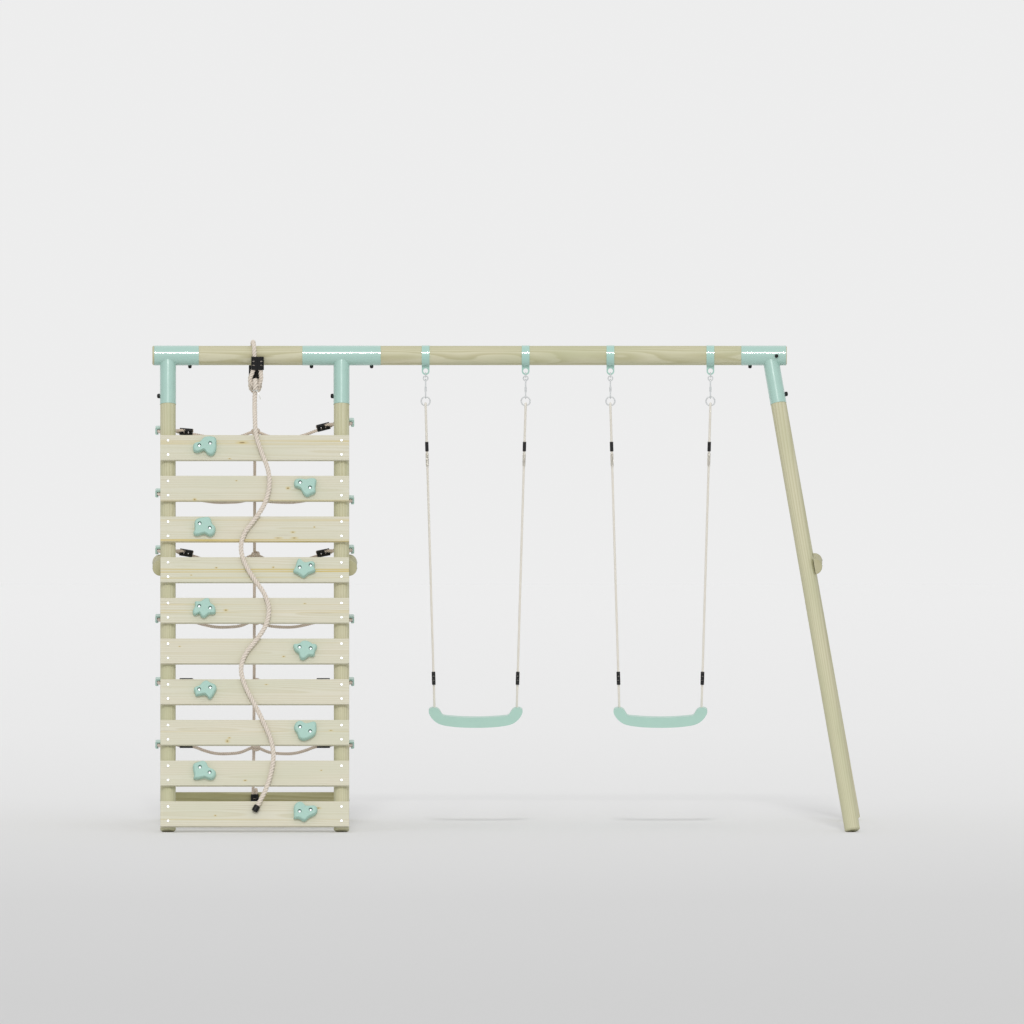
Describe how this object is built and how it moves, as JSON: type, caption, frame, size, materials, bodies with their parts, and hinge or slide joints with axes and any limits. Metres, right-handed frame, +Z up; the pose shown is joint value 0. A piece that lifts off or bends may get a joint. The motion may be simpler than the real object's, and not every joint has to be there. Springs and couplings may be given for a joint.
{
  "type": "climbing wall play frame",
  "caption": "Timber A-frame play set: board climbing wall with moulded holds, hanging climbing rope and rope net behind it, and swings under the same round beam.",
  "frame": {"origin": "on the ground, at the middle of the rigid object's footprint box", "axes": "+X along the beam from the climbing wall towards the swings, +Y from the wall's front to the rear, +Z up"},
  "size_m": [3.6737, 1.6169, 2.526],
  "materials": {
    "timber": "satin",
    "board_timber": "satin",
    "mint_enamel": "gloss",
    "strap_enamel": "satin",
    "hold_plastic": "matte",
    "seat_plastic": "satin",
    "zinc_steel": "satin",
    "black_plastic": "matte",
    "natural_rope": "matte",
    "white_rope": "matte"
  },
  "bodies": {
    "frame": {"top_beam": "timber", "left_bracket": "mint_enamel", "middle_bracket": "mint_enamel", "right_bracket": "mint_enamel", "left_front_leg": "timber", "left_rear_leg": "timber", "middle_front_leg": "timber", "middle_rear_leg": "timber", "right_front_leg": "timber", "right_rear_leg": "timber", "leg_braces": "timber", "rear_crossbar": "timber", "wall_board_01": "board_timber", "wall_board_02": "board_timber", "wall_board_03": "board_timber", "wall_board_04": "board_timber", "wall_board_05": "board_timber", "wall_board_06": "board_timber", "wall_board_07": "board_timber", "wall_board_08": "board_timber", "wall_board_09": "board_timber", "wall_board_10": "board_timber", "climbing_hold_01": "hold_plastic", "climbing_hold_02": "hold_plastic", "climbing_hold_03": "hold_plastic", "climbing_hold_04": "hold_plastic", "climbing_hold_05": "hold_plastic", "climbing_hold_06": "hold_plastic", "climbing_hold_07": "hold_plastic", "climbing_hold_08": "hold_plastic", "climbing_hold_09": "hold_plastic", "climbing_hold_10": "hold_plastic", "wood_screws": "zinc_steel", "hold_bolts": "zinc_steel", "bracket_bolts": "zinc_steel", "bolt_caps": "black_plastic", "hanger_straps": "strap_enamel", "beam_sling": "natural_rope", "net_upright_rope": "natural_rope", "net_row_rope_1": "natural_rope", "net_row_rope_2": "natural_rope", "net_row_rope_3": "natural_rope", "net_row_rope_4": "natural_rope", "net_row_rope_5": "natural_rope", "net_row_rope_6": "natural_rope", "rope_clamps": "black_plastic", "net_clips": "mint_enamel"},
    "climbing_rope_hanging": {"climbing_rope": "natural_rope", "climbing_rope_end_cap": "black_plastic"},
    "swing_1": {"swing_1_hangers": "zinc_steel", "swing_1_left_rope": "white_rope", "swing_1_right_rope": "white_rope", "swing_1_rope_fittings": "black_plastic", "swing_1_seat": "seat_plastic"},
    "swing_2": {"swing_2_hangers": "zinc_steel", "swing_2_left_rope": "white_rope", "swing_2_right_rope": "white_rope", "swing_2_rope_fittings": "black_plastic", "swing_2_seat": "seat_plastic"}
  },
  "joints": [
    {"name": "swing_1_pivot", "type": "hinge", "parent": "frame", "child": "swing_1", "pos_m": [-0.163, 0.028, 2.3469], "axis": [1, 0, 0], "range_deg": [-60, 60]},
    {"name": "swing_2_pivot", "type": "hinge", "parent": "frame", "child": "swing_2", "pos_m": [0.796, 0.028, 2.3469], "axis": [1, 0, 0], "range_deg": [-60, 60]},
    {"name": "climbing_rope_swing", "type": "hinge", "parent": "frame", "child": "climbing_rope_hanging", "pos_m": [-1.30635, -0.036, 2.29], "axis": [-1, 0, 0], "range_deg": [0, 45]}
  ]
}
